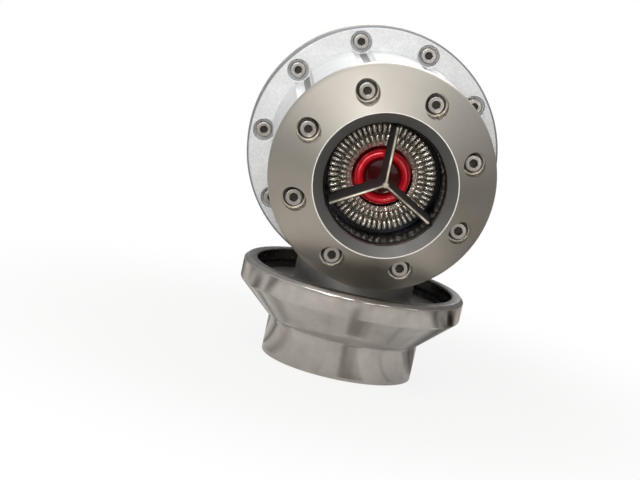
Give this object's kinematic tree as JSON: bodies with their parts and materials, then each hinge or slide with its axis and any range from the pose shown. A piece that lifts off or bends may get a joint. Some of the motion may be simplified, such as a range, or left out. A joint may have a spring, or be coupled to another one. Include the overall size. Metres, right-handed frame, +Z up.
{
  "type": "blow-off valve",
  "caption": "Pull-type sequential blow-off valve with a conical bell, three-blade outlet and red inner valve, seated in its weld-on flange.",
  "frame": {"origin": "centre of the inlet bore at the weld end of the flange's spigot", "axes": "+Z up the inlet neck, valve axis along Y with the outlet towards -Y, +X to the right seen from the outlet"},
  "size_m": [0.088, 0.1215, 0.1117],
  "materials": {
    "polished_aluminium": "turned and polished",
    "blasted_casting": "bright blasted casting",
    "satin_aluminium": "bead-blasted satin",
    "plain_aluminium": "machined",
    "hard_anodised": "hard-anodised aluminium, dark",
    "black_chrome": "dark polished",
    "bright_chrome": "bright chrome",
    "red_anodised": "red anodised aluminium, glossy",
    "stainless": "stainless steel",
    "spring_steel": "dark spring steel",
    "bronze": "plain",
    "copper": "soft copper",
    "black_rubber": "moulded nitrile",
    "diaphragm_rubber": "fabric-reinforced rubber"
  },
  "bodies": {
    "mount_flange": {"weld_flange": "polished_aluminium", "retaining_ring": "spring_steel"},
    "housing": {"main_body": "blasted_casting", "guide_plate": "plain_aluminium", "inlet_neck": "blasted_casting", "base_seal": "black_rubber", "front_housing": "satin_aluminium", "face_seal": "black_rubber", "front_washers": "stainless", "front_screws": "stainless", "outlet_insert": "black_chrome", "seat_sleeve": "hard_anodised", "guide_bush": "bronze", "guide_seal": "black_rubber", "bush_clip": "spring_steel", "diaphragm": "diaphragm_rubber", "rear_cover": "blasted_casting", "rear_screws": "stainless", "nipple_washer": "copper", "hose_nipple": "bronze", "return_spring": "spring_steel", "closing_spring": "spring_steel"},
    "secondary": {"secondary_valve": "hard_anodised", "secondary_seal": "black_rubber", "fin_ring": "bright_chrome"},
    "primary": {"primary_valve": "red_anodised", "primary_seal": "black_rubber", "shaft": "stainless", "lift_clip": "spring_steel", "front_plate": "plain_aluminium", "spring_cup": "plain_aluminium", "plate_nut": "stainless"}
  },
  "joints": [
    {"name": "housing_swivel", "type": "hinge", "parent": "mount_flange", "child": "housing", "pos_m": [0, 0, 0.0245], "axis": [0, 0, 1], "continuous": true},
    {"name": "secondary_slide", "type": "slide", "parent": "housing", "child": "secondary", "axis": [0, 1, 0], "range_m": [0, 0.006], "stiffness_N_per_m": 1500, "springref_m": -0.004, "deforming": ["closing_spring", "return_spring", "diaphragm"]},
    {"name": "primary_slide", "type": "slide", "parent": "secondary", "child": "primary", "axis": [0, 1, 0], "range_m": [0, 0.003], "stiffness_N_per_m": 2500, "springref_m": -0.006, "deforming": ["return_spring", "diaphragm"]}
  ]
}
